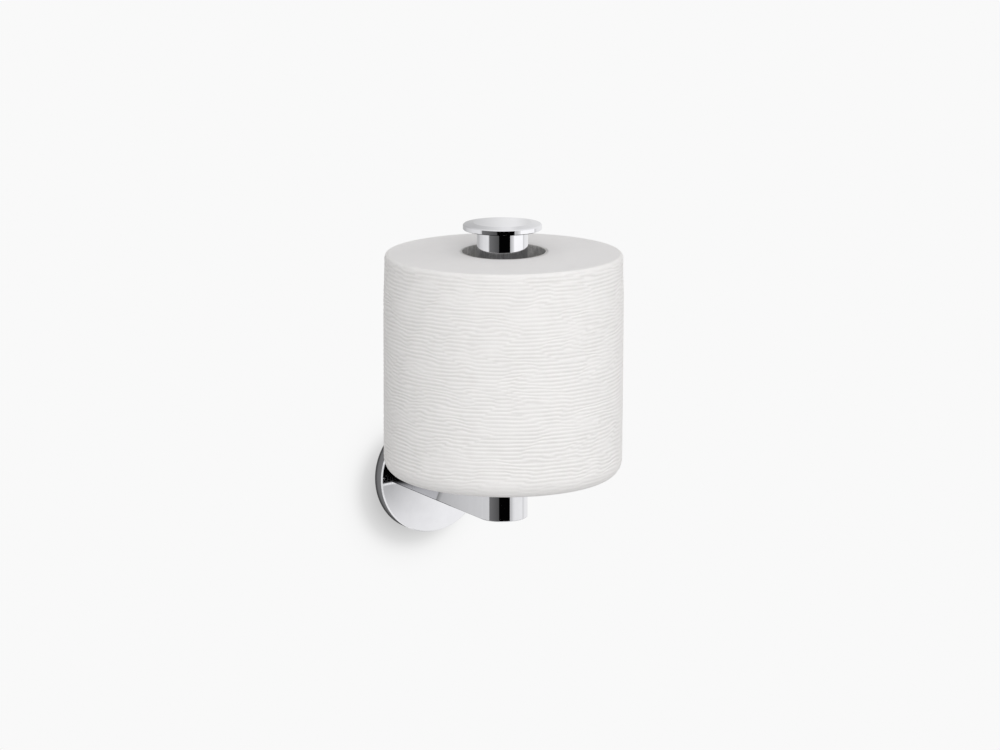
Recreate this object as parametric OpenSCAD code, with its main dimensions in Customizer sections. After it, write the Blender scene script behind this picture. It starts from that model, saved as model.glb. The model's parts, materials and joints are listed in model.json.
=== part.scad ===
// Wall-mounted upright toilet paper holder: round wall plate, level arm, upright post
// with a disc cap, and a roll of paper that stands on a turning hub around the post.
//
// Origin: centre of the wall plate, on the wall. The wall is the XZ plane at Y = 0,
// the arm reaches out along -Y and the post stands along +Z.

/* [Wall plate] */
// Diameter of the round wall plate
plate_d = 58.4; // [56:0.2:62]
// Depth of the wall plate, from the wall to its front face
plate_depth = 6.6; // [6:0.2:8]
// Thickness of the wall plate's front face
plate_face_t = 2.8; // [2.4:0.1:3]
// Thickness of the wall plate's rim
plate_rim_t = 4.1; // [4:0.1:4.4]
// Distance between the two wall screw holes
wall_hole_gap = 34; // [30:1:36]
// Diameter of a wall screw hole
wall_hole_d = 5.2; // [4.2:0.1:5.6]

/* [Arm and post] */
// Distance from the wall to the axis of the post
reach = 73.3; // [70:0.1:90]
// Width of the arm, which is also the diameter of the post
arm_w = 24.2; // [24:0.1:25.4]
// Height of the arm
arm_h = 13.5; // [13:0.1:16]
// Wall thickness of the post's tube
post_wall = 1.5; // [1:0.1:1.8]
// Height of the cap's underside above the middle of the arm
cap_z = 132.8; // [126:0.1:150]

/* [Cap] */
// Diameter of the cap
cap_d = 37.4; // [32:0.1:38]
// Height of the cap's upright rim
cap_rim_h = 2.1; // [1.8:0.1:3]
// Diameter of the raised flat on top of the cap
cap_flat_d = 27.4; // [20:0.1:30]
// Rise of the cap's sloping shoulder
cap_rise = 0.7; // [0.4:0.1:1.2]

/* [Roll] */
// Diameter of the paper roll
roll_d = 114; // [90:1:116]
// Height of the paper roll, across the sheet
roll_h = 106.5; // [96:0.5:108]
// Height of the roll's underside above the middle of the arm
roll_z = 14.9; // [14.2:0.1:16]
// Inner diameter of the cardboard core
core_bore_d = 39.4; // [39:0.1:42]
// Thickness of the cardboard core
core_wall = 0.9; // [0.6:0.1:1.2]
// Radius of the roll's upper outer edge
roll_top_round = 2.4; // [1:0.1:4]
// Radius of the roll's lower outer edge
roll_foot_round = 7; // [3:0.5:9]

/* [Hidden] */
$fn = 128;

// small clearances
slip = 0.05;         // between a piece and the hole that it is pressed or screwed into
run_gap = 0.08;      // between the turning hub and the post
face_gap = 0.1;      // between the turning hub and the collar under it
rest_gap = 0.05;     // between the roll's underside and the hub
edge = 0.4;          // bevel on visible metal edges
plate_edge = 0.6;    // bevel round the front of the wall plate
fine_edge = 0.2;     // bevel on small or hidden edges
eps = 0.01;          // overlap of joined solids
past = 1;            // how far a cutting solid runs past the face that it cuts

// wall plate and bracket
plate_r = plate_d / 2;
cavity_r = plate_r - plate_rim_t;
cavity_depth = plate_depth - plate_face_t;
bracket_r = cavity_r - 0.3;
bracket_t = cavity_depth - 0.2;
bracket_window_r = 8;
wall_csk_r = 4.8;
wall_csk_depth = 2.2;
screw_seat_r = 0.8;
screw_seat_depth = 0.6;
seal_r = cavity_r + 1.4;
seal_w = 1.2;
seal_t = 0.8;
set_screw_r = 1.5;
set_screw_y = -2.6;
set_screw_z = -plate_r + 0.4;
set_screw_tip_z = -bracket_r - slip;
set_screw_tip_r = 0.7;
set_screw_tip_h = 0.6;
set_socket_r = 0.9;
set_socket_depth = 1.4;

// arm and post
arm_r = arm_w / 2;
arm_top = arm_h / 2;
arm_start_y = -plate_depth;
arm_screw_x = 7;
arm_screw_r = 2;
arm_screw_len = 13;
arm_head_r = 4;
arm_head_h = 2;
arm_socket_r = 1.5;
arm_socket_depth = 1.4;
arm_dowel_r = 1.5;
arm_dowel_len = 6;
tube_bore_r = arm_r - post_wall;

// post screw stack, from the underside of the arm upwards
well_r = 6;
plug_t = 1.2;
post_head_h = 4;
post_head_r = 5;
washer_t = 0.8;
well_top = -arm_top + plug_t + slip + post_head_h + 2 * washer_t;
post_screw_r = 3;
post_screw_top = 22;
post_hole_gap = 0.3;
post_socket_r = 2.9;
post_socket_depth = 2.2;
washer_gap = 0.2;
washer_split = 0.8;
post_dowel_x = 6;
post_dowel_r = 1.25;
post_dowel_low = 2.5;
post_dowel_top = 13;

// collar and hub
collar_base_r = 16;
collar_r = 23.5;
collar_base_h = 2.5;
collar_flange_h = 3;
tube_foot_z = arm_top + collar_base_h;
collar_top = tube_foot_z + collar_flange_h;
hub_bore_r = arm_r + run_gap;
hub_r = 23;
hub_spigot_r = core_bore_d / 2 - 0.4;
hub_top = roll_z + 10;
hub_floor = collar_top + face_gap;
hub_flange_top = roll_z - rest_gap;
hub_wall = 1.6;
hub_lead_in = 2;     // height of the bevel that guides the core onto the hub
hub_web = 0.4;

// inserts inside the post
foot_insert_r = 8;
foot_insert_gap = 0.1;
foot_insert_top = 29;
spigot_h = 3;
head_insert_top = cap_z - spigot_h - 0.1;
head_insert_h = 14;
stud_r = 2.5;
stud_foot = cap_z - 13;
stud_top = cap_z + 0.6;
stud_end_gap = 0.3;

// cap
cap_r = cap_d / 2;
cap_flat_r = cap_flat_d / 2;
cap_spigot_r = tube_bore_r - 0.2;
cap_edge = 0.5;
cap_under_edge = 0.3;
cap_top = cap_z + cap_rim_h + cap_edge + cap_rise;
ring_z = cap_z - spigot_h / 2;
ring_section_r = 0.55;
ring_r = tube_bore_r - ring_section_r - slip;
ring_groove_h = 1.3;

// roll
roll_r = roll_d / 2;
core_r = core_bore_d / 2;
paper_bore_r = core_r + core_wall + slip;
roll_top = roll_z + roll_h;
core_recess = 0.6;
tail_t = 0.4;
tail_curve_r = 70;
tail_start_deg = 12;
tail_sweep_deg = 42;
tail_inset = 3;
tail_gap = 0.2;

// Puts its children on the post's axis
module at_post() {
    translate([0, -reach, 0]) children();
}

// Turns children that are drawn along +Z so that they run from the wall outwards
module from_wall() {
    rotate([90, 0, 0]) children();
}

// Rod along Z between two heights
module rod(r, z0, z1) {
    translate([0, 0, z0]) cylinder(r = r, h = z1 - z0);
}

// Ring around Z between two heights
module ring(r_in, r_out, z0, z1) {
    rotate_extrude() translate([r_in, z0]) square([r_out - r_in, z1 - z0]);
}

// Cone along Z between two heights, for countersinks and countersunk heads
module cone(r0, r1, z0, z1) {
    translate([0, 0, z0]) cylinder(r1 = r0, r2 = r1, h = z1 - z0);
}

// Countersunk screw along +Z, head first: the head's flat face is at Z = 0
module countersunk_screw(r, head_r, head_h, length) {
    difference() {
        union() {
            cone(head_r, r, 0, head_h);
            rod(r, head_h - eps, length);
        }
        rod(arm_socket_r, -past, arm_socket_depth);
    }
}

// Bracket that is screwed to the wall; the wall plate slides over it
module wall_bracket() {
    color("silver") from_wall() difference() {
        rotate_extrude() polygon([
            [bracket_window_r, 0],
            [bracket_r, 0],
            [bracket_r, bracket_t - edge],
            [bracket_r - edge, bracket_t],
            [bracket_window_r, bracket_t]
        ]);
        for (side = [-1, 1]) translate([side * wall_hole_gap / 2, 0, 0]) {
            rod(wall_hole_d / 2, -past, bracket_t + past);
            cone(wall_hole_d / 2, wall_csk_r, bracket_t - wall_csk_depth, bracket_t + eps);
        }
        // seat for the tip of the set screw
        translate([0, -bracket_r, -set_screw_y]) rotate([-90, 0, 0])
            cylinder(r = screw_seat_r, h = screw_seat_depth);
    }
}

// Flat rubber ring in the groove at the back of the wall plate's rim
module rim_seal() {
    color("dimgray") from_wall() ring(seal_r + slip, seal_r + seal_w - slip, 0, seal_t - slip);
}

// Round wall plate: a shallow cup, open towards the wall
module wall_plate() {
    color("gainsboro") from_wall() difference() {
        rotate_extrude() polygon([
            [0, cavity_depth],
            [cavity_r, cavity_depth],
            [cavity_r, 0],
            [plate_r, 0],
            [plate_r, plate_depth - plate_edge],
            [plate_r - plate_edge, plate_depth],
            [0, plate_depth]
        ]);
        ring(seal_r, seal_r + seal_w, -past, seal_t);
        for (side = [-1, 1]) translate([side * arm_screw_x, 0, cavity_depth]) {
            rod(arm_screw_r + slip, -past, plate_face_t + past);
            cone(arm_head_r + slip, arm_screw_r + slip, -eps, arm_head_h + slip);
        }
        rod(arm_dowel_r + slip, cavity_depth - past, plate_depth + past);
        // hole for the set screw in the lowest point of the rim
        translate([0, past - cavity_r, -set_screw_y]) rotate([90, 0, 0])
            cylinder(r = set_screw_r + slip, h = plate_rim_t + 2 * past);
    }
}

// Headless screw in the plate's rim that locks the plate to the bracket
module plate_set_screw() {
    color("gray") translate([0, set_screw_y, 0]) difference() {
        union() {
            rod(set_screw_r, set_screw_z, set_screw_tip_z - set_screw_tip_h);
            cone(set_screw_r, set_screw_tip_r, set_screw_tip_z - set_screw_tip_h - eps, set_screw_tip_z);
        }
        translate([0, 0, set_screw_z - past])
            cylinder(r = set_socket_r, h = set_socket_depth + past, $fn = 6);
    }
}

// Two screws from inside the wall plate into the end of the arm
module arm_screws() {
    color("darkgray") from_wall()
        for (side = [-1, 1]) translate([side * arm_screw_x, 0, cavity_depth])
            countersunk_screw(arm_screw_r, arm_head_r, arm_head_h, arm_screw_len);
}

// Dowel that keeps the arm level on the wall plate
module arm_dowel() {
    color("darkgray") from_wall()
        rod(arm_dowel_r, cavity_depth + fine_edge, cavity_depth + arm_dowel_len);
}

// Straight part of the arm, with bevelled long edges
module arm_bar() {
    half = arm_h / 2;
    translate([0, arm_start_y, 0]) from_wall() linear_extrude(reach - plate_depth) polygon([
        [-arm_r, -half + edge],
        [-arm_r + edge, -half],
        [arm_r - edge, -half],
        [arm_r, -half + edge],
        [arm_r, half - edge],
        [arm_r - edge, half],
        [-arm_r + edge, half],
        [-arm_r, half - edge]
    ]);
}

// Full-round end of the arm, as wide as the post
module arm_end() {
    half = arm_h / 2;
    at_post() rotate_extrude() polygon([
        [0, -half],
        [arm_r - edge, -half],
        [arm_r, -half + edge],
        [arm_r, half - edge],
        [arm_r - edge, half],
        [0, half]
    ]);
}

// Arm: flat-sided bar with a full-round end
module arm() {
    color("gainsboro") difference() {
        union() {
            arm_bar();
            arm_end();
        }
        from_wall() {
            for (side = [-1, 1]) translate([side * arm_screw_x, 0, 0])
                rod(arm_screw_r + slip, plate_depth - past, cavity_depth + arm_screw_len + past);
            rod(arm_dowel_r + slip, plate_depth - past, cavity_depth + arm_dowel_len + past / 2);
        }
        at_post() {
            rod(well_r, -arm_top - past, well_top);
            rod(post_screw_r + post_hole_gap, well_top - past, arm_top + past);
            translate([post_dowel_x, 0, 0])
                rod(post_dowel_r + slip, post_dowel_low - fine_edge, arm_top + past);
        }
    }
}

// Screw that pulls the post down onto the arm
module post_screw() {
    head_z = -arm_top + plug_t + slip;
    color("darkgray") at_post() difference() {
        union() {
            rod(post_head_r, head_z, head_z + post_head_h);
            rod(post_screw_r, head_z + post_head_h - eps, post_screw_top);
        }
        translate([0, 0, head_z - past])
            cylinder(r = post_socket_r, h = post_socket_depth + past, $fn = 6);
    }
}

// Split spring washer under the screw's head
module spring_washer() {
    z0 = well_top - 2 * washer_t;
    color("gray") at_post() difference() {
        ring(post_screw_r + washer_gap, post_head_r - washer_gap, z0 + eps, z0 + washer_t - eps);
        translate([0, -washer_split / 2, z0 - past])
            cube([post_head_r + past, washer_split, washer_t + 2 * past]);
    }
}

// Flat washer on the floor of the screw's well
module flat_washer() {
    color("silver") at_post()
        ring(post_screw_r + washer_gap, well_r - washer_gap, well_top - washer_t, well_top - eps);
}

// Plug that closes the screw's well, flush with the underside of the arm
module access_plug() {
    color("gainsboro") at_post() rotate_extrude() polygon([
        [0, -arm_top],
        [well_r - slip - fine_edge, -arm_top],
        [well_r - slip, -arm_top + fine_edge],
        [well_r - slip, -arm_top + plug_t],
        [0, -arm_top + plug_t]
    ]);
}

// Dowel that stops the post from turning on the arm
module post_dowel() {
    color("darkgray") at_post() translate([post_dowel_x, 0, 0])
        rod(post_dowel_r, post_dowel_low, post_dowel_top);
}

// Stepped collar clamped between the arm and the post; its flange carries the hub
module support_collar() {
    color("silver") at_post() rotate_extrude() polygon([
        [foot_insert_r + foot_insert_gap, arm_top],
        [collar_base_r, arm_top],
        [collar_base_r, tube_foot_z],
        [collar_r - edge, tube_foot_z],
        [collar_r, tube_foot_z + edge],
        [collar_r, collar_top - edge],
        [collar_r - edge, collar_top],
        [arm_r + slip, collar_top],
        [arm_r + slip, tube_foot_z],
        [foot_insert_r + foot_insert_gap, tube_foot_z]
    ]);
}

// Threaded insert fixed in the lower end of the post
module post_foot_insert() {
    color("darkgray") at_post() difference() {
        union() {
            rod(foot_insert_r, arm_top + slip, tube_foot_z + past);
            rod(tube_bore_r - slip, tube_foot_z + slip, foot_insert_top);
        }
        rod(post_screw_r + slip, arm_top - past, post_screw_top + past);
        translate([post_dowel_x, 0, 0])
            rod(post_dowel_r + slip, arm_top - past, post_dowel_top + fine_edge);
    }
}

// Upright post: a plain tube
module post_tube() {
    color("gainsboro") at_post() ring(tube_bore_r, arm_r, tube_foot_z, cap_z);
}

// Threaded insert fixed in the upper end of the post
module post_head_insert() {
    color("darkgray") at_post()
        ring(stud_r + slip, tube_bore_r - slip, head_insert_top - head_insert_h, head_insert_top);
}

// Stud that joins the cap to the post
module cap_stud() {
    color("gray") at_post() rod(stud_r, stud_foot, stud_top);
}

// Rubber ring that holds the cap's spigot quietly in the tube
module cap_o_ring() {
    color("black") at_post()
        rotate_extrude() translate([ring_r, ring_z]) circle(r = ring_section_r, $fn = 32);
}

// Disc cap with a bevelled rim, a sloping shoulder and a raised flat
module cap() {
    groove_r = ring_r - ring_section_r - slip;
    rim_top = cap_z + cap_rim_h;
    color("gainsboro") at_post() rotate_extrude() polygon([
        [0, stud_top + stud_end_gap],
        [stud_r + slip, stud_top + stud_end_gap],
        [stud_r + slip, cap_z - spigot_h],
        [cap_spigot_r, cap_z - spigot_h],
        [cap_spigot_r, ring_z - ring_groove_h / 2],
        [groove_r, ring_z - ring_groove_h / 2],
        [groove_r, ring_z + ring_groove_h / 2],
        [cap_spigot_r, ring_z + ring_groove_h / 2],
        [cap_spigot_r, cap_z],
        [cap_r - cap_under_edge, cap_z],
        [cap_r, cap_z + cap_under_edge],
        [cap_r, rim_top],
        [cap_r - cap_edge, rim_top + cap_edge],
        [cap_flat_r, cap_top],
        [0, cap_top]
    ]);
}

// Hub that turns on the post, carries the roll on its flange and centres its core
module roll_hub() {
    color("whitesmoke") at_post() rotate_extrude() polygon([
        [hub_bore_r, hub_floor],
        [hub_r, hub_floor],
        [hub_r, hub_flange_top],
        [hub_spigot_r, hub_flange_top],
        [hub_spigot_r, hub_top - hub_lead_in],
        [hub_spigot_r - hub_lead_in / 2, hub_top],
        [hub_spigot_r - hub_wall, hub_top],
        [hub_spigot_r - hub_wall, hub_flange_top + hub_web],
        [hub_bore_r + hub_wall, hub_flange_top + hub_web],
        [hub_bore_r + hub_wall, hub_top],
        [hub_bore_r, hub_top]
    ]);
}

// Cardboard tube that the paper is wound on
module core_tube() {
    color("darkkhaki") at_post()
        ring(core_r, core_r + core_wall, roll_z + core_recess, roll_top - core_recess);
}

// Wound paper, with a small round on its upper edge and a larger one on its lower edge
module paper_roll() {
    color("snow") at_post() rotate_extrude() union() {
        translate([paper_bore_r, roll_z])
            square([roll_r - roll_foot_round - paper_bore_r, roll_h]);
        translate([paper_bore_r, roll_z + roll_foot_round])
            square([roll_r - roll_top_round - paper_bore_r, roll_h - roll_foot_round]);
        translate([paper_bore_r, roll_z + roll_foot_round])
            square([roll_r - paper_bore_r, roll_h - roll_foot_round - roll_top_round]);
        translate([roll_r - roll_foot_round, roll_z + roll_foot_round]) circle(r = roll_foot_round);
        translate([roll_r - roll_top_round, roll_top - roll_top_round]) circle(r = roll_top_round);
    }
}

// Loose end of the outermost sheet, which lifts a little off the back of the roll
module paper_tail() {
    start_r = roll_r + tail_gap;
    color("white") at_post() rotate([0, 0, tail_start_deg])
        translate([start_r - tail_curve_r, 0, roll_z + roll_foot_round])
            rotate_extrude(angle = tail_sweep_deg) translate([tail_curve_r, 0])
                square([tail_t, roll_h - roll_foot_round - tail_inset]);
}

wall_bracket();
rim_seal();
wall_plate();
plate_set_screw();
arm_screws();
arm_dowel();
arm();
post_screw();
spring_washer();
flat_washer();
access_plug();
post_dowel();
support_collar();
post_foot_insert();
post_tube();
post_head_insert();
cap_stud();
cap_o_ring();
cap();
roll_hub();
core_tube();
paper_roll();
paper_tail();
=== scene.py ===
import json
import math

import bpy
import numpy as np
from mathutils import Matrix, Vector


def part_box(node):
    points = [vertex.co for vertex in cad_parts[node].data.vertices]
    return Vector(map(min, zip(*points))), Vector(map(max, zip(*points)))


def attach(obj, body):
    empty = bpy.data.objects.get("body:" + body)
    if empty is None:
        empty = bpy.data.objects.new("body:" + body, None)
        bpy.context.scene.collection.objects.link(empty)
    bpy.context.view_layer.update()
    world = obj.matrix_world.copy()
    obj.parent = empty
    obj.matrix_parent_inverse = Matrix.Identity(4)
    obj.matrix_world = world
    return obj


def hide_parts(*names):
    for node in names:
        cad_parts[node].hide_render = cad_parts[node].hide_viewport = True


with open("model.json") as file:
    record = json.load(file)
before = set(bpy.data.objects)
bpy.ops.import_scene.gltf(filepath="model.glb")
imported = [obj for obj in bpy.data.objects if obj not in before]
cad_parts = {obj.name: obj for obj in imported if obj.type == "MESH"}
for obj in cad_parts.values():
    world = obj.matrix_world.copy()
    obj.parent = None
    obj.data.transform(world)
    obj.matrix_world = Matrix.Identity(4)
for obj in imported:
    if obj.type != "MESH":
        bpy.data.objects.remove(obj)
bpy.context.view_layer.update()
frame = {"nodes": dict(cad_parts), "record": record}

# ---------------------------------------------------------------- sizes, in metres and degrees
MM = 0.001
POST = Vector((0.0, -73.3 * MM, 0.0))       # the post's axis
VIEW_AZIMUTH = -30.75                       # the main camera's direction round the post
VIEW_ELEVATION = 12.1
VIEW_DISTANCE = 1.8124
VIEW_CENTRE = Vector((0.0, -73.3 * MM, 62.4 * MM))
LENS = 137.2
VIEW_ASIDE = 1.17 * MM                      # how far left of that direction the camera stands

RIB_PITCH = 1.9 * MM                        # the embossed ribs of the paper
RIB_DEPTH = 0.28 * MM
SHEET = 0.16 * MM                           # thickness of the loose sheet
AMBIENT = 0.522                             # the studio's even light on matt surfaces
BACKDROP = 0.947                            # the open wall's and backdrop's tone
BLACK = 0.001                               # a black card's glow
SEED = 7


# ---------------------------------------------------------------- node trees
class Tree:
    """Short calls for a material's or a world's nodes."""

    def __init__(self, tree):
        self.tree = tree
        tree.nodes.clear()

    def add(self, kind, **values):
        node = self.tree.nodes.new(kind)
        for key, value in values.items():
            setattr(node, key, value)
        return node

    def put(self, socket, value):
        if isinstance(value, bpy.types.NodeSocket):
            self.tree.links.new(value, socket)
        elif hasattr(value, "__len__") and len(value) == 3 and socket.type == "RGBA":
            socket.default_value = (*value, 1.0)
        else:
            socket.default_value = value

    def math(self, operation, a, b=0.0, c=None):
        node = self.add("ShaderNodeMath", operation=operation)
        self.put(node.inputs[0], a)
        self.put(node.inputs[1], b)
        if c is not None:
            self.put(node.inputs[2], c)
        return node.outputs[0]

    def vector(self, operation, a, b=(0, 0, 0)):
        node = self.add("ShaderNodeVectorMath", operation=operation)
        self.put(node.inputs[0], a)
        self.put(node.inputs[1], b)
        gives_number = operation in ("LENGTH", "DOT_PRODUCT")
        return node.outputs["Value"] if gives_number else node.outputs[0]

    def place(self):
        """The point on the surface, in the object's own metres."""
        return self.add("ShaderNodeTexCoord").outputs["Object"]

    def split(self, vector):
        node = self.add("ShaderNodeSeparateXYZ")
        self.put(node.inputs[0], vector)
        return node.outputs

    def join(self, x, y, z):
        node = self.add("ShaderNodeCombineXYZ")
        for socket, value in zip(node.inputs, (x, y, z)):
            self.put(socket, value)
        return node.outputs[0]

    def noise(self, size, detail=2.0, roughness=0.5, stretch=(1, 1, 1)):
        """Noise whose features are about `size` metres across, from 0 to 1."""
        scaled = self.vector("MULTIPLY", self.place(), tuple(s / size for s in stretch))
        node = self.add("ShaderNodeTexNoise")
        node.inputs["Scale"].default_value = 1.0
        node.inputs["Detail"].default_value = detail
        node.inputs["Roughness"].default_value = roughness
        self.put(node.inputs["Vector"], scaled)
        return node.outputs["Fac"]

    def ramp(self, value, stops):
        """A colour or grey for each value from 0 to 1."""
        node = self.add("ShaderNodeValToRGB")
        elements = node.color_ramp.elements
        while len(elements) < len(stops):
            elements.new(0.5)
        for element, (position, colour) in zip(elements, stops):
            element.position = position
            shade = colour if hasattr(colour, "__len__") else (colour,) * 3
            element.color = (*shade, 1.0)
        self.put(node.inputs[0], value)
        return node.outputs[0]

    def span(self, value, low, high, to_low, to_high):
        """value between low and high becomes a number between to_low and to_high."""
        node = self.add("ShaderNodeMapRange")
        node.clamp = True
        for socket, v in zip(node.inputs, (value, low, high, to_low, to_high)):
            self.put(socket, v)
        return node.outputs[0]

    def blend(self, factor, a, b):
        node = self.add("ShaderNodeMix", data_type="RGBA")
        self.put(node.inputs[0], factor)
        self.put(node.inputs[6], a)
        self.put(node.inputs[7], b)
        return node.outputs[2]

    def bump(self, height, distance, strength=1.0, normal=None):
        node = self.add("ShaderNodeBump")
        node.inputs["Strength"].default_value = strength
        node.inputs["Distance"].default_value = distance
        self.put(node.inputs["Height"], height)
        if normal is not None:
            self.put(node.inputs["Normal"], normal)
        return node.outputs[0]

    def rounded(self, radius):
        """The normal as if every edge were rounded to this radius."""
        node = self.add("ShaderNodeBevel")
        node.samples = 6
        node.inputs["Radius"].default_value = radius
        return node.outputs[0]

    def edges(self, radius=0.35 * MM):
        """1 on edges and 0 on open faces: rubbed edges on most parts, and the chrome's painted edge
        line.
        """
        true = self.add("ShaderNodeNewGeometry").outputs["Normal"]
        turned = self.vector("DOT_PRODUCT", self.rounded(radius), true)
        return self.span(turned, 0.995, 0.90, 0.0, 1.0)

    def emission(self, colour, strength=1.0):
        node = self.add("ShaderNodeEmission")
        self.put(node.inputs["Color"], colour)
        self.put(node.inputs["Strength"], strength)
        return node.outputs[0]

    def mix_shaders(self, factor, a, b):
        node = self.add("ShaderNodeMixShader")
        self.put(node.inputs[0], factor)
        self.put(node.inputs[1], a)
        self.put(node.inputs[2], b)
        return node.outputs[0]

    def add_shaders(self, a, b):
        node = self.add("ShaderNodeAddShader")
        self.put(node.inputs[0], a)
        self.put(node.inputs[1], b)
        return node.outputs[0]


def surface(name, **values):
    """A material with one Principled shader. values are the constants on its own sockets."""
    material = bpy.data.materials.new(name)
    material.use_nodes = True
    t = Tree(material.node_tree)
    output = t.add("ShaderNodeOutputMaterial")
    shader = t.add("ShaderNodeBsdfPrincipled")
    t.put(output.inputs["Surface"], shader.outputs[0])
    for key, value in values.items():
        t.put(shader.inputs[key.replace("_", " ")], value)
    return material, t, shader.inputs


# ---------------------------------------------------------------- materials of the holder
def chrome(name, edge_tone, edge_rough, edge_width):
    """Polished chrome plate: faint haze, hairline scratches and a slightly uneven cast body.

    Its edges carry a painted line in edge_tone, light for a highlight and dark for shade; edge_rough is
    how satin the rubbed edges are.
    """
    material, t, s = surface(name, Metallic=1.0)
    edge_line_and_wear = t.edges(edge_width)
    haze = t.noise(6 * MM, 3.0, 0.6)
    wipes = t.noise(0.5 * MM, 2.0, 0.6, stretch=(1.0, 1.0, 0.12))
    tone = t.span(haze, 0.3, 0.7, 0.0, 1.0)
    plate = t.blend(tone, (0.795, 0.795, 0.818), (0.825, 0.825, 0.848))
    # painted edge line: the base colour turns to edge_tone on the edges, a painted highlight on the
    # plate and cap and painted shade on the arm
    t.put(s["Base Color"], t.blend(edge_line_and_wear, plate, (edge_tone,) * 3))
    scratches = t.span(wipes, 0.60, 0.75, 0.0, 0.02)
    rough = t.math("ADD", t.span(haze, 0.35, 0.75, 0.010, 0.026), scratches)
    t.put(s["Roughness"], t.math("MULTIPLY_ADD", edge_line_and_wear, edge_rough, rough))
    sway = t.bump(t.noise(11 * MM, 1.0), 0.003 * MM, 0.6)
    t.put(s["Normal"], t.bump(wipes, 0.0003 * MM, 0.5, sway))
    return material


def zinc_plate():
    """Bright zinc plating on the hidden steel parts, with spangle and dull patches."""
    material, t, s = surface("zinc_plate", Metallic=1.0)
    spangle = t.add("ShaderNodeTexVoronoi")
    spangle.inputs["Scale"].default_value = 1.0
    t.put(spangle.inputs["Vector"], t.vector("MULTIPLY", t.place(), (500.0,) * 3))
    grain = t.split(spangle.outputs["Color"])[0]
    patches = t.noise(5 * MM, 4.0, 0.6)
    tone = t.math("ADD", t.math("MULTIPLY", grain, 0.35), t.math("MULTIPLY", patches, 0.65))
    t.put(s["Base Color"], t.ramp(tone, [(0.25, (0.50, 0.51, 0.53)), (0.7, (0.69, 0.70, 0.71))]))
    rough = t.span(patches, 0.3, 0.7, 0.26, 0.46)
    t.put(s["Roughness"], t.math("MULTIPLY_ADD", t.edges(), -0.12, rough))
    t.put(s["Normal"], t.bump(t.noise(0.25 * MM, 2.0), 0.01 * MM, 0.5))
    return material


def screw_steel():
    """Turned steel of the screws and dowels: fine rings and a little oil film."""
    material, t, s = surface("screw_steel", Metallic=1.0)
    film = t.noise(2.5 * MM, 3.0, 0.6)
    rings = t.noise(0.12 * MM, 1.0)
    t.put(s["Base Color"], t.ramp(film, [(0.3, (0.40, 0.40, 0.41)), (0.7, (0.58, 0.58, 0.59))]))
    rough = t.span(rings, 0.3, 0.7, 0.22, 0.40)
    t.put(s["Roughness"], t.math("MULTIPLY_ADD", t.edges(), -0.10, rough))
    t.put(s["Normal"], t.bump(rings, 0.006 * MM, 0.6))
    return material


def turned_brass():
    """Bare turned brass of the inserts, with tool marks round the axis and some tarnish."""
    material, t, s = surface("turned_brass", Metallic=1.0)
    tarnish = t.noise(3 * MM, 4.0, 0.62)
    marks = t.noise(0.16 * MM, 1.0, stretch=(0.05, 0.05, 1.0))
    tone = t.ramp(tarnish, [(0.28, (0.44, 0.30, 0.12)), (0.62, (0.74, 0.55, 0.24))])
    t.put(s["Base Color"], t.blend(t.edges(), tone, (0.84, 0.67, 0.34)))
    t.put(s["Roughness"], t.span(tarnish, 0.3, 0.7, 0.42, 0.2))
    t.put(s["Normal"], t.bump(marks, 0.012 * MM, 0.6))
    return material


def rubber():
    """Matt black seal rubber with moulding grain and a trace of bloom."""
    material, t, s = surface("seal_rubber", Specular_IOR_Level=0.35)
    bloom = t.noise(4 * MM, 4.0, 0.65)
    t.put(s["Base Color"], t.ramp(bloom, [(0.3, (0.018, 0.018, 0.019)), (0.75, (0.055, 0.054, 0.053))]))
    t.put(s["Roughness"], t.span(bloom, 0.3, 0.7, 0.62, 0.84))
    t.put(s["Normal"], t.bump(t.noise(0.2 * MM, 2.0), 0.02 * MM, 0.5))
    return material


def nylon():
    """Natural white nylon of the turning hub: faintly mottled, polished where it runs."""
    material, t, s = surface("hub_nylon", Specular_IOR_Level=0.45)
    mottle = t.noise(3 * MM, 3.0, 0.6)
    t.put(s["Base Color"], t.ramp(mottle, [(0.3, (0.70, 0.69, 0.655)), (0.7, (0.78, 0.77, 0.74))]))
    rough = t.span(mottle, 0.3, 0.7, 0.34, 0.5)
    t.put(s["Roughness"], t.math("MULTIPLY_ADD", t.edges(), -0.12, rough))
    t.put(s["Normal"], t.bump(t.noise(0.3 * MM, 2.0), 0.012 * MM, 0.5))
    return material


# ---------------------------------------------------------------- materials of the roll
def tissue():
    """Soft white tissue: felted fibres, fine wrinkles, and painted shade in the valleys between the
    ribs.
    """
    material, t, s = surface("tissue", Specular_IOR_Level=0.12, Sheen_Weight=0.04)
    clouds = t.noise(7 * MM, 3.0, 0.55)
    fibres = t.noise(0.45 * MM, 3.0, 0.7)
    crepe = t.noise(0.35 * MM, 1.0, 0.5, stretch=(0.35, 0.35, 1.0))
    tone = t.math("ADD", t.math("MULTIPLY", clouds, 0.45), t.math("MULTIPLY", fibres, 0.55))
    pulp = t.ramp(tone, [(0.30, (0.905, 0.890, 0.878)), (0.70, (0.965, 0.950, 0.940))])
    rib = t.add("ShaderNodeAttribute", attribute_name="rib").outputs["Fac"]
    raised = t.span(rib, 0.0, 0.75, 0.0, 1.0)
    # painted shade: the base colour darkens towards the valleys between the ribs
    valley = t.blend(0.42, pulp, (0.77, 0.755, 0.74))
    t.put(s["Base Color"], t.blend(raised, valley, pulp))
    t.put(s["Roughness"], t.span(fibres, 0.3, 0.7, 0.86, 0.97))
    soft = t.bump(fibres, 0.05 * MM, 0.35)
    t.put(s["Normal"], t.bump(crepe, 0.04 * MM, 0.35, soft))
    return material


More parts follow.
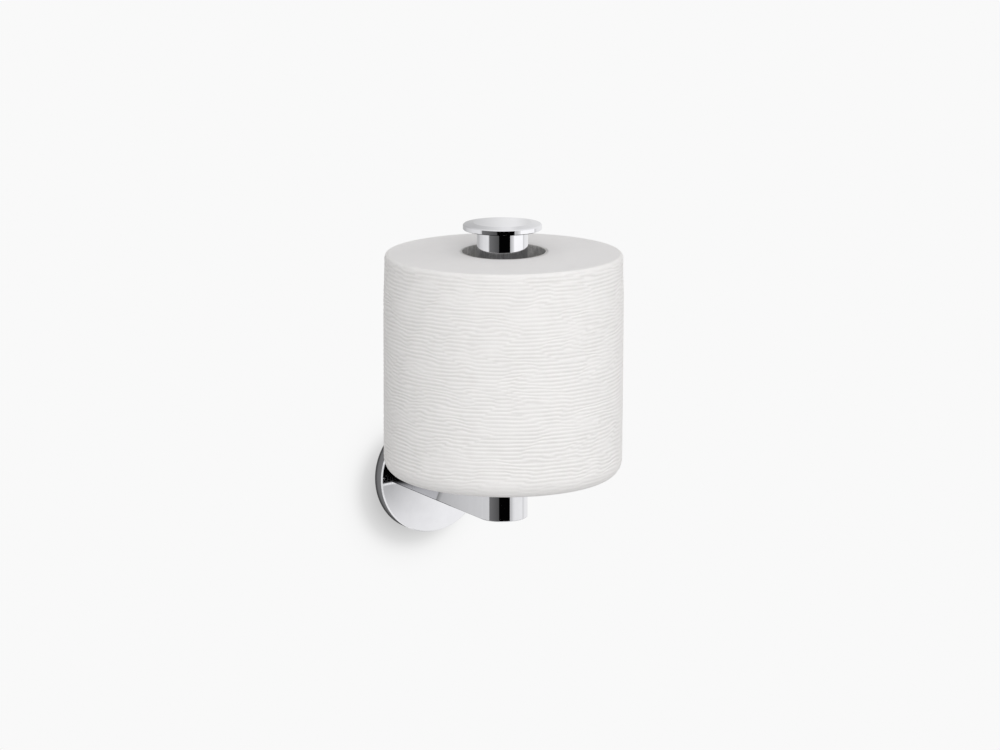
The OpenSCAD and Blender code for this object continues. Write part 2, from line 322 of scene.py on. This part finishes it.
def tissue_ends():
    """The cut ends of the layers: fine rings round the core, dusty with loose fibres."""
    material, t, s = surface("tissue_ends", Specular_IOR_Level=0.1, Sheen_Weight=0.02)
    layer = 0.42 * MM
    at = t.vector("SUBTRACT", t.place(), tuple(POST))
    x, y, _ = t.split(at)
    radius = t.vector("LENGTH", t.join(x, y, 0.0))
    waver = t.math("MULTIPLY", t.noise(9 * MM, 2.0), 0.5 * MM)
    turns = t.math("MULTIPLY", t.math("ADD", radius, waver), 2 * math.pi / layer)
    layers = t.math("MULTIPLY_ADD", t.math("SINE", turns), 0.5, 0.5)
    dust = t.noise(0.35 * MM, 3.0, 0.7)
    broad = t.noise(6 * MM, 3.0, 0.6)
    tone = t.math("ADD", t.math("MULTIPLY", layers, 0.3), t.math("MULTIPLY", dust, 0.35))
    tone = t.math("MULTIPLY_ADD", broad, 0.35, tone)
    pulp = t.ramp(tone, [(0.25, (0.905, 0.890, 0.888)), (0.75, (0.965, 0.951, 0.948))])
    t.put(s["Base Color"], pulp)
    t.put(s["Roughness"], t.span(dust, 0.3, 0.7, 0.9, 0.98))
    rings = t.bump(layers, 0.02 * MM, 0.35)
    t.put(s["Normal"], t.bump(dust, 0.05 * MM, 0.4, rings))
    return material


def core_board(name, low, high):
    """Grey recycled board of the core, from shade low to high: flecks and wound grain."""
    material, t, s = surface(name, Specular_IOR_Level=0.15)
    flecks = t.noise(0.5 * MM, 3.0, 0.75)
    grain = t.noise(1.4 * MM, 3.0, 0.6, stretch=(1.0, 1.0, 0.5))
    tone = t.math("ADD", t.math("MULTIPLY", flecks, 0.5), t.math("MULTIPLY", grain, 0.5))
    shades = [(level, level * 0.985, level * 0.96) for level in (low, high)]
    t.put(s["Base Color"], t.ramp(tone, [(0.36, shades[0]), (0.64, shades[1])]))
    t.put(s["Roughness"], t.span(grain, 0.3, 0.7, 0.82, 0.96))
    t.put(s["Normal"], t.bump(flecks, 0.05 * MM, 0.5))
    return material


# ---------------------------------------------------------------- mesh helpers
def new_piece(name, verts, faces, materials, body, ribs=None):
    """A smooth mesh on a moving body. ribs is the height of the ribs at each point."""
    mesh = bpy.data.meshes.new(name)
    mesh.from_pydata([tuple(v) for v in verts], [], faces)
    mesh.update()
    mesh.polygons.foreach_set("use_smooth", [True] * len(mesh.polygons))
    for material in materials:
        mesh.materials.append(material)
    if ribs is not None:
        mesh.attributes.new("rib", "FLOAT", "POINT").data.foreach_set("value", ribs.ravel())
    obj = bpy.data.objects.new(name, mesh)
    bpy.context.scene.collection.objects.link(obj)
    obj.visible_glossy = False              # the chrome mirrors the room and not the roll
    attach(obj, body)
    return obj


def ring_table(rows, columns):
    """Rows that start with a radius and a height: the same as a table, and as ring arrays."""
    table = np.array(rows, float)
    radius = np.repeat(table[:, 0:1], columns, axis=1)
    height = np.repeat(table[:, 1:2], columns, axis=1)
    turn = np.repeat(np.arange(columns)[None, :] / columns, len(rows), axis=0)
    return table, radius, height, turn


def ring_grid(radius, height, columns):
    """Points of a closed ring grid. radius and height are arrays of rows x columns."""
    angle = np.arange(columns) * 2 * np.pi / columns
    x = POST.x + radius * np.cos(angle)[None, :]
    y = POST.y + radius * np.sin(angle)[None, :]
    return np.stack([x, y, height], axis=-1).reshape(-1, 3)


def ring_faces(rows, columns):
    """Quads of a ring grid whose rows also close on themselves."""
    faces = []
    for i in range(rows):
        j = (i + 1) % rows
        for k in range(columns):
            m = (k + 1) % columns
            faces.append((i * columns + k, i * columns + m, j * columns + m, j * columns + k))
    return faces


def smooth_step(x, low, high):
    """0 below low, 1 above high, and a smooth rise between them."""
    u = np.clip((x - low) / (high - low), 0.0, 1.0)
    return u * u * (3 - 2 * u)


def lattice(seed, u, v, cells_u, cells_v):
    """Smooth noise from 0 to 1. u runs from 0 to 1 round the roll and closes on itself."""
    grid = np.random.default_rng(seed).random((cells_u, cells_v + 2))
    a = np.mod(u, 1.0) * cells_u
    b = np.clip(v, 0.0, 1.0) * cells_v
    i, j = np.floor(a).astype(int) % cells_u, np.floor(b).astype(int)
    fa, fb = smooth_step(a - np.floor(a), 0, 1), smooth_step(b - np.floor(b), 0, 1)
    i2 = (i + 1) % cells_u
    low = grid[i, j] * (1 - fa) + grid[i2, j] * fa
    high = grid[i, j + 1] * (1 - fa) + grid[i2, j + 1] * fa
    return low * (1 - fb) + high * fb


def rib_height(turn, z, span_z):
    """The embossed ribs, from 0 in a valley to 1 on a rib.

    They run round the roll, waver, fade in places and shift by half a pitch where two
    embossed patches meet. Blots are small spots where the paper is pressed flat.
    """
    v = z / span_z
    patches = lattice(SEED, turn + 0.01 * np.sin(v * 40), v, 38, 9) * 2.6
    part = patches - np.floor(patches)
    level = np.floor(patches) + smooth_step(part, 0.34, 0.66)
    waver = 0.34 * lattice(SEED + 1, turn, v, 26, 16)
    waver = waver + 0.16 * lattice(SEED + 2, turn, v, 60, 36)
    phase = z / RIB_PITCH + 0.5 * level + waver
    wave = 0.5 + 0.5 * np.cos(2 * np.pi * phase)
    strength = 0.55 + 0.45 * smooth_step(lattice(SEED + 3, turn, v, 34, 16), 0.15, 0.55)
    dashes = 0.72 + 0.40 * lattice(SEED + 8, turn, v, 80, 56)
    blots = smooth_step(lattice(SEED + 4, turn, v, 150, 60), 0.80, 0.95)
    ribs = 1 - (1 - wave) * strength * dashes
    return ribs * (1 - 0.6 * blots) + 0.35 * blots


# ---------------------------------------------------------------- the roll
def settle(points, top):
    """How the roll sits: it leans a little on the post, and its inner turns stand proud on top."""
    out = points - np.array(POST)
    radius = np.hypot(out[:, 0], out[:, 1])
    ahead = out[:, :2] @ np.array(towards(VIEW_AZIMUTH))[:2]
    inner = 1.0 - smooth_step(radius, 20.5 * MM, 48 * MM)
    proud = (0.97 * MM - 0.02 * ahead) * inner * smooth_step(points[:, 2], top - 8 * MM, top)
    side = towards(VIEW_AZIMUTH + 90)
    lean = 0.15 * MM + 0.5 * MM * points[:, 2] / top
    foot = smooth_step(radius, 24 * MM, 55 * MM) * (1.0 - smooth_step(points[:, 2], 25 * MM, 70 * MM))
    lift = proud - 0.008 * (out @ np.array(side)) * foot
    return points + np.outer(lean, side) + np.outer(lift, (0, 0, 1))


def tightness(z, top):
    """How much narrower the roll is wound near its top edge."""
    return 0.45 * MM * smooth_step(z, top - 24 * MM, top - 5 * MM)


def paper_roll(material, end_material):
    """The wound paper: ribbed side, rounded top and foot edges, flat ends and the bore."""
    low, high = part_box("paper_roll")
    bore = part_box("core_tube")[1].x + 0.05 * MM
    outer = high.x
    top_round, foot_round = 2.4 * MM, 8.0 * MM
    columns = 336

    rows = []                               # (radius, height, depth of the ribs, is a side)
    for r in np.linspace(bore, outer - foot_round, 16, endpoint=False):
        rows.append((r, low.z, 0.0, False))
    for a in np.linspace(0, math.pi / 2, 22, endpoint=False):
        r = outer - foot_round + foot_round * math.sin(a)
        rows.append((r, low.z + foot_round * (1 - math.cos(a)), math.sin(a) ** 2, True))
    side = np.linspace(low.z + foot_round, high.z - top_round, 370, endpoint=False)
    rows += [(outer, z, 1.0, True) for z in side]
    for a in np.linspace(0, math.pi / 2, 12, endpoint=False):
        r = outer - top_round + top_round * math.cos(a)
        rows.append((r, high.z - top_round * (1 - math.sin(a)), math.cos(a) ** 2, True))
    for r in np.linspace(outer - top_round, bore, 44, endpoint=False):
        rows.append((r, high.z, 0.0, False))
    for z in np.linspace(high.z, low.z, 10, endpoint=False):
        rows.append((bore, z, 0.0, False))

    table, radius, height, turn = ring_table(rows, columns)
    ribs = rib_height(turn, height - low.z, high.z - low.z)
    ribs = 1.0 - table[:, 2:3] * (1.0 - ribs)
    rise = (height - low.z) / (high.z - low.z)
    slack = 0.10 * MM * (lattice(SEED + 5, turn, rise, 9, 4) - 1.0) - tightness(height, high.z)
    radius = radius + RIB_DEPTH * (ribs - 1.0) + table[:, 2:3] * slack

    on_top = (table[:, 3] == 0) & (table[:, 1] > high.z - 0.01 * MM) & (table[:, 0] > bore)
    dip = 0.16 * MM * (lattice(SEED + 6, turn, (radius - bore) / (outer - bore), 14, 6) - 1.0)
    height = height + np.where(on_top[:, None], dip, 0.0)

    verts = settle(ring_grid(radius, height, columns), high.z)
    piece = new_piece(
        "paper_roll_wound", verts, ring_faces(len(rows), columns),
        [material, end_material], "roll", ribs)
    is_end = np.repeat((table[:, 3] == 0) & (np.roll(table[:, 3], -1) == 0), columns)
    piece.data.polygons.foreach_set("material_index", is_end.astype(np.int32))
    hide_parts("paper_roll")
    return piece


def paper_tail(material):
    """The loose end of the outer sheet, which leaves the roll and ends in a torn perforation.

    It starts just under the roll's surface, at the angle start. Its curve is wider than
    the roll, with a centre beyond the post, so that it opens away from the roll.
    """
    low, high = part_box("paper_tail")
    roll_low, roll_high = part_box("paper_roll")
    start, sweep = math.radians(12.0), math.radians(42.0)
    curve, reach = 70.0 * MM, 57.2 * MM
    across, along = 366, 60
    first_turn, turn_span = 0.0333, 0.143   # where its ribs lie in the roll's pattern
    z = np.linspace(low.z, high.z, across)
    rng = np.random.default_rng(SEED + 9)
    notches = np.abs(np.mod(z / (1.6 * MM), 1.0) - 0.5)
    teeth = 0.35 * MM * notches + 0.1 * MM * rng.random(across)
    tight = tightness(z, roll_high.z)

    points, heights = [], []
    for side in (0, 1):
        for share in np.linspace(0.0, 1.0, along):
            turn = sweep * share - teeth * (share ** 8) / curve
            sunk = 0.7 * MM * (1.0 - smooth_step(share, 0.0, 0.14))
            sunk = sunk + tight * (1.0 - smooth_step(share, 0.1, 0.6))
            place = np.full(across, share * turn_span + first_turn)
            ribs = rib_height(place, z - roll_low.z, roll_high.z - roll_low.z)
            depth = RIB_DEPTH * (0.9 - 0.4 * share)
            r = curve + SHEET * (side + 1) + depth * (ribs - 1.0) - sunk
            x = reach - curve + r * np.cos(turn)
            y = r * np.sin(turn)
            px = POST.x + x * math.cos(start) - y * math.sin(start)
            py = POST.y + x * math.sin(start) + y * math.cos(start)
            points.append(np.stack([px, py, z], axis=-1))
            heights.append(ribs)
    verts = settle(np.concatenate(points), roll_high.z)

    def at(side, i, j):
        return (side * along + i) * across + j

    faces = []
    for i in range(along - 1):
        for j in range(across - 1):
            faces.append((at(1, i, j), at(1, i + 1, j), at(1, i + 1, j + 1), at(1, i, j + 1)))
            faces.append((at(0, i, j), at(0, i, j + 1), at(0, i + 1, j + 1), at(0, i + 1, j)))
    for i in range(along - 1):
        faces.append((at(0, i, 0), at(0, i + 1, 0), at(1, i + 1, 0), at(1, i, 0)))
        k = across - 1
        faces.append((at(0, i, k), at(1, i, k), at(1, i + 1, k), at(0, i + 1, k)))
    for j in range(across - 1):
        faces.append((at(0, 0, j), at(1, 0, j), at(1, 0, j + 1), at(0, 0, j + 1)))
        k = along - 1
        faces.append((at(0, k, j), at(0, k, j + 1), at(1, k, j + 1), at(1, k, j)))
    ribs = np.concatenate(heights)
    piece = new_piece("paper_tail_sheet", verts, faces, [material], "roll", ribs)
    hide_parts("paper_tail")
    return piece


def core(material, cut_material):
    """The spiral-wound board tube inside the roll, with a shallow seam and a pale top end: partly the
    board's cut fibres, partly a painted highlight on the rim of the hole.
    """
    low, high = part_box("core_tube")
    roll_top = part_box("paper_roll")[1].z
    high.z = roll_top - 0.05 * MM           # the board ends level with the paper
    outer = high.x
    inner = outer - 0.9 * MM
    chamfer, seam_pitch = 0.12 * MM, 66 * MM
    columns, steps = 180, 170
    heights = np.linspace(low.z + chamfer, high.z - chamfer, steps)
    rows = [(inner, z, 1.0) for z in heights]   # (radius, height, depth of the seam)
    rows += [(inner + chamfer, high.z, 0.0), (outer - chamfer, high.z, 0.0)]
    rows += [(outer, z, 0.0) for z in heights[::-6]]
    rows += [(outer - chamfer, low.z, 0.0), (inner + chamfer, low.z, 0.0)]
    table, radius, height, turn = ring_table(rows, columns)
    seam = np.mod(turn - height / seam_pitch, 1.0)
    groove = smooth_step(seam, 0.0, 0.006) * (1 - smooth_step(seam, 0.014, 0.03))
    wound = 0.06 * MM * lattice(SEED + 11, turn, (height - low.z) / (high.z - low.z), 18, 20)
    radius = radius + table[:, 2:3] * (0.16 * MM * groove + wound)
    verts = settle(ring_grid(radius, height, columns), roll_top)
    piece = new_piece(
        "core_tube_board", verts, ring_faces(len(rows), columns),
        [material, cut_material], "roll")
    # pale top end, partly cut fibres and partly a painted highlight; the bottom end keeps the board's
    # colour
    cut = (table[:, 2] == 0) & (np.roll(table[:, 2], -1) == 0) & (table[:, 1] > high.z - MM)
    piece.data.polygons.foreach_set("material_index", np.repeat(cut, columns).astype(np.int32))
    piece.visible_glossy = True             # the post mirrors the inside of the core
    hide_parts("core_tube")
    return piece


# ---------------------------------------------------------------- floor, wall and reflectors
def stage_material(name):
    material = bpy.data.materials.new(name)
    material.use_nodes = True
    t = Tree(material.node_tree)
    return material, t, t.add("ShaderNodeOutputMaterial").inputs["Surface"]


def stage_plane(name, corners, material):
    mesh = bpy.data.meshes.new(name)
    mesh.from_pydata([tuple(c) for c in corners], [], [(0, 1, 2, 3)])
    mesh.materials.append(material)
    obj = bpy.data.objects.new(name, mesh)
    bpy.context.scene.collection.objects.link(obj)
    return obj


def wall_paint():
    """White wall: a painted soft shadow left of and below the plate, and clear from behind.

    For the chrome it glows with a painted reflection: a dark ring close to the plate, and upright
    bands of grey whose tones differ below the plate. Places across the bands are in millimetres.
    """
    material, t, out = stage_material("wall_paint")
    at = t.place()
    x, _, z = t.split(at)

    # painted shadow of the plate: the wall's glow darkens round a point left of and below the plate's
    # centre
    shadow_at = t.vector("SUBTRACT", at, (-8 * MM, 0.0, -6 * MM))
    reach = t.math("DIVIDE", t.vector("LENGTH", shadow_at), 50 * MM)
    shade = t.ramp(reach, [
        (0.40, 0.55), (0.50, 0.65), (0.56, 0.715), (0.60, 0.783), (0.64, 0.84),
        (0.68, 0.885), (0.72, 0.912), (0.78, 0.93), (0.86, 0.941), (0.96, BACKDROP)])

    # painted reflection for the chrome: a dark ring just outside the plate's edge, then upright grey
    # bands
    ring = t.math("DIVIDE", t.vector("LENGTH", at), 100 * MM)
    painted_dark_ring = t.ramp(ring, [
        (0.286, 0.90), (0.2915, 0.10), (0.300, 0.15), (0.307, 0.34),
        (0.33, 0.39), (0.36, 0.95), (0.40, 1.0)])
    half = 300
    aside = t.span(x, -half * MM, half * MM, 0.0, 1.0)

    def upright_bands(tones):
        return t.ramp(aside, [((mm + half) / (2 * half), tone) for mm, tone in tones])

    high_bands = upright_bands([
        (-300, 0.89), (-117, 0.83), (-55, 0.70), (-46, 0.65), (-36, 0.56),
        (-20, 0.52), (20, 0.55), (29, 0.66), (37, 0.77), (44, 0.875),
        (51, 0.91), (59, 0.755), (68, 0.80), (90, 0.93), (210, 0.95)])
    low_bands = upright_bands([
        (-300, 0.72), (-55, 0.70), (-46, 0.65), (-36, 0.56), (-20, 0.52),
        (4, 0.55), (16, 0.92), (300, 0.95)])
    bands = t.blend(t.span(z, 0.0, 40 * MM, 0.0, 1.0), low_bands, high_bands)
    painted_reflection = t.vector("MULTIPLY", painted_dark_ring, bands)

    path = t.add("ShaderNodeLightPath").outputs
    colour = t.blend(path["Is Glossy Ray"], shade, painted_reflection)
    colour = t.blend(path["Is Diffuse Ray"], colour, (AMBIENT,) * 3)
    behind = t.add("ShaderNodeNewGeometry").outputs["Backfacing"]
    clear = t.add("ShaderNodeBsdfTransparent").outputs[0]
    t.put(out, t.mix_shaders(behind, t.emission(colour), clear))
    return material


def floor_paint():
    """Pale matt floor with faint mottling, lifted a little towards the backdrop's tone."""
    material, t, out = stage_material("floor_paint")
    matt = t.add("ShaderNodeBsdfDiffuse")
    mottle = t.noise(60 * MM, 4.0, 0.6)
    t.put(matt.inputs["Color"], t.ramp(mottle, [(0.3, 0.62), (0.7, 0.64)]))
    path = t.add("ShaderNodeLightPath").outputs
    glow = t.emission((1.0, 1.0, 1.0), t.math("MULTIPLY", path["Is Camera Ray"], 0.50))
    t.put(out, t.add_shaders(matt.outputs[0], glow))
    return material


def wall_and_floor():
    """The wall stands a hair behind the plate, and the floor lies well below the holder."""
    half, low, high = 1.6, -0.35, 2.4
    y = 0.3 * MM
    wall_corners = [(-half, y, low), (half, y, low), (half, y, high), (-half, y, high)]
    stage_plane("wall_stage", wall_corners, wall_paint())
    far = 3
    floor_corners = [(-far, -far, low), (far, -far, low), (far, far, low), (-far, far, low)]
    floor = stage_plane("floor_stage", floor_corners, floor_paint())
    floor.visible_glossy = False


def studio_world():
    """Even light on matt surfaces, and a ring of soft boxes and grey panels for the chrome.

    The ring lies a little below the horizon. Above and below it the chrome sees pale grey.
    """
    world = bpy.data.worlds.new("studio")
    bpy.context.scene.world = world
    world.use_nodes = True
    t = Tree(world.node_tree)
    out = t.add("ShaderNodeOutputWorld").inputs["Surface"]

    x, y, z = t.split(t.add("ShaderNodeTexCoord").outputs["Generated"])
    angle = t.math("ARCTAN2", x, t.math("MULTIPLY", y, -1.0))
    turned = t.math("ADD", t.math("DIVIDE", angle, 2 * math.pi), 0.5 - VIEW_AZIMUTH / 360)
    share = t.math("FRACT", turned)

    levels = [                              # (degrees to the right of the camera, level)
        (-180, 0.89), (-66, 0.89), (-64, 0.19), (-20, 0.10), (-15, 0.09), (-13, 0.66),
        (30, 0.66), (42, 0.62), (50, 0.84), (60, 0.93), (101, 0.96), (106, 0.79),
        (113, 0.80), (119, 0.95), (135, 0.95), (179, 0.89)]
    boxes = t.ramp(share, [((degrees + 180) / 360, level) for degrees, level in levels])
    off_level = t.math("ABSOLUTE", t.math("ADD", z, 0.21))
    boxes = t.blend(t.span(off_level, 0.10, 0.16, 0.0, 1.0), boxes, (0.95, 0.95, 0.95))

    path = t.add("ShaderNodeLightPath").outputs
    higher = t.math("MULTIPLY_ADD", z, 0.31 * AMBIENT, AMBIENT)
    colour = t.blend(path["Is Glossy Ray"], t.join(higher, higher, higher), boxes)
    colour = t.blend(path["Is Camera Ray"], colour, (BACKDROP,) * 3)
    background = t.add("ShaderNodeBackground")
    t.put(background.inputs["Color"], colour)
    t.put(out, background.outputs[0])


def towards(azimuth, elevation=0.0):
    """Unit vector out from the object. Azimuth 0 is the front, positive is to the right."""
    a, e = math.radians(azimuth), math.radians(elevation)
    return Vector((math.sin(a) * math.cos(e), -math.cos(a) * math.cos(e), math.sin(e)))


def card(name, centre, azimuth, sides, heights, shades, lift=None, tilt=None):
    """An upright card that only the chrome sees.

    shades is its glow, or its glow at several heights. lift is two places across it:
    from the first to the second its glow rises to full. tilt slopes its upper shades:
    a place across it, a slope, and the two heights between which the slope sets in.
    """
    material, t, out = stage_material(name + "_paint")
    low, high = heights
    side = towards(azimuth + 90)
    if hasattr(shades, "__len__"):
        at = t.place()
        up = t.split(at)[2]
        across = t.vector("DOT_PRODUCT", t.vector("SUBTRACT", at, tuple(centre)), tuple(side))
        if tilt:
            share = t.span(up, tilt[2], tilt[3], 0.0, -tilt[1])
            up = t.math("MULTIPLY_ADD", t.math("SUBTRACT", across, tilt[0]), share, up)
        level = t.span(up, low, high, 0.0, 1.0)
        glow = t.ramp(level, [((z - low) / (high - low), shade) for z, shade in shades])
        if lift:
            glow = t.blend(t.span(across, lift[0], lift[1], 0.0, 1.0), glow, (1.02, 1.02, 1.02))
        t.put(out, t.emission(glow))
    else:
        t.put(out, t.emission((1.0, 1.0, 1.0), shades))
    corners = [centre + side * s + Vector((0, 0, z))
               for s, z in ((sides[0], low), (sides[1], low), (sides[1], high), (sides[0], high))]
    panel = stage_plane(name, corners, material)
    for kind in ("camera", "diffuse", "shadow", "transmission", "volume_scatter"):
        setattr(panel, "visible_" + kind, False)


def cards():
    """What the chrome mirrors: places across and heights of each card are in metres.

    The front cards make the black stripe of the post and of the arm's end, and the bright
    card lights the post's right side. The arm edge card draws the arm's lower edge, the rim
    card lights the plate's rim, and the low card shades the plate's face up to black.
    """
    front = POST + towards(VIEW_AZIMUTH) * 0.65
    card("front_card", front, VIEW_AZIMUTH, (-0.178, 0.04), (-0.185, 0.40), [
        (-0.185, 0.66), (-0.181, 0.63), (-0.178, 0.54), (-0.1755, 0.34), (-0.175, BLACK)])
    card("front_card_right", front, VIEW_AZIMUTH, (0.04, 0.44), (-0.30, -0.14), BLACK)
    card("front_card_high", front, VIEW_AZIMUTH, (0.04, 0.459), (-0.045, 0.40), BLACK)
    card("front_card_left", front, VIEW_AZIMUTH, (-0.354, -0.178), (0.0195, 0.40), BLACK)
    right_azimuth = VIEW_AZIMUTH + 76
    right = POST + towards(right_azimuth) * 0.6
    card("bright_card", right, right_azimuth, (-0.25, 0.33), (-0.05, 0.35), 1.16)
    ahead = Vector((58 * MM, -285 * MM, 0.0))
    card("arm_edge_card", ahead, 15.3, (-0.05, 0.05), (-0.20, -0.10), BLACK)
    by_the_rim = Vector((-58 * MM, -24 * MM, 0.0))
    card("rim_card", by_the_rim, -59.2, (-0.005, 0.005), (-0.030, 0.014), 0.86)
    low_right = towards(-VIEW_AZIMUTH) * 0.40
    card("low_card", low_right, -VIEW_AZIMUTH, (-0.10, 0.06), (-0.165, -0.098), [
        (-0.150, 1.03), (-0.138, 0.98), (-0.130, 0.91), (-0.125, 0.86), (-0.120, 0.81),
        (-0.117, 0.75), (-0.112, 0.655), (-0.109, 0.60), (-0.106, 0.56), (-0.1026, 0.52),
        (-0.1022, 0.95), (-0.1014, 0.95), (-0.1010, BLACK)],
        lift=(-0.035, -0.003), tilt=(-0.040, 0.19, -0.118, -0.106))


def soft_box(name, azimuth, elevation, size, watts):
    """A square light, 1.3 m from the holder, that no chrome mirrors."""
    data = bpy.data.lights.new(name, "AREA")
    data.shape = "SQUARE"
    data.size = size
    data.energy = watts
    lamp = bpy.data.objects.new(name, data)
    bpy.context.scene.collection.objects.link(lamp)
    out_dir = towards(azimuth, elevation)
    lamp.location = VIEW_CENTRE + out_dir * 1.3
    lamp.rotation_mode = "QUATERNION"
    lamp.rotation_quaternion = (-out_dir).to_track_quat("-Z", "Y")
    lamp.visible_glossy = False
    lamp.visible_camera = False


def main_camera():
    """A long lens, from the left and a little above."""
    data = bpy.data.cameras.new("camera")
    data.lens = LENS
    data.sensor_width = 36.0
    data.clip_start, data.clip_end = 0.05, 30.0
    camera = bpy.data.objects.new("camera", data)
    bpy.context.scene.collection.objects.link(camera)
    back = towards(VIEW_AZIMUTH, VIEW_ELEVATION)
    aside = towards(VIEW_AZIMUTH + 90)
    camera.location = VIEW_CENTRE + back * VIEW_DISTANCE - aside * VIEW_ASIDE
    camera.rotation_mode = "QUATERNION"
    camera.rotation_quaternion = (-back).to_track_quat("-Z", "Y")
    bpy.context.scene.camera = camera


# ---------------------------------------------------------------- putting it together
def dress_cad_nodes():
    """Gives every CAD node that stays in view the material of its slot."""
    # the plate and cap get a light painted highlight along their edges
    chromes = {
        "wall_plate": chrome("chrome_plate", 0.88, 0.45, 0.40 * MM),
        "cap": chrome("chrome_cap", 0.86, 0.20, 0.16 * MM)}
    # the arm and the other chrome parts get a dark painted shade line along their edges
    plain = chrome("chrome_arm", 0.12, 0.05, 0.30 * MM)
    makers = {
        "plated_steel": zinc_plate, "fastener_steel": screw_steel,
        "insert_brass": turned_brass, "seal_rubber": rubber, "hub_nylon": nylon}
    made = {}
    slots = {part["node"]: part["material_slot"] for part in frame["record"]["subparts"]}
    for name, obj in sorted(frame["nodes"].items()):
        slot = slots[name]
        if slot == "chrome":
            obj.material_slots[0].material = chromes.get(name, plain)
        elif slot in makers:
            if slot not in made:
                made[slot] = makers[slot]()
            obj.material_slots[0].material = made[slot]


bpy.context.scene.view_settings.view_transform = "Standard"
main_camera()
dress_cad_nodes()
paper = tissue()
paper_roll(paper, tissue_ends())
paper_tail(paper)
core(core_board("core_board", 0.29, 0.60), core_board("core_cut_edge", 0.66, 0.80))
wall_and_floor()
studio_world()
cards()
soft_box("key_light", -18, 19, 0.7, 5.9)
soft_box("fill_light", 66, 12, 0.7, 2.1)
soft_box("left_light", -100, 42, 0.5, 1.8)
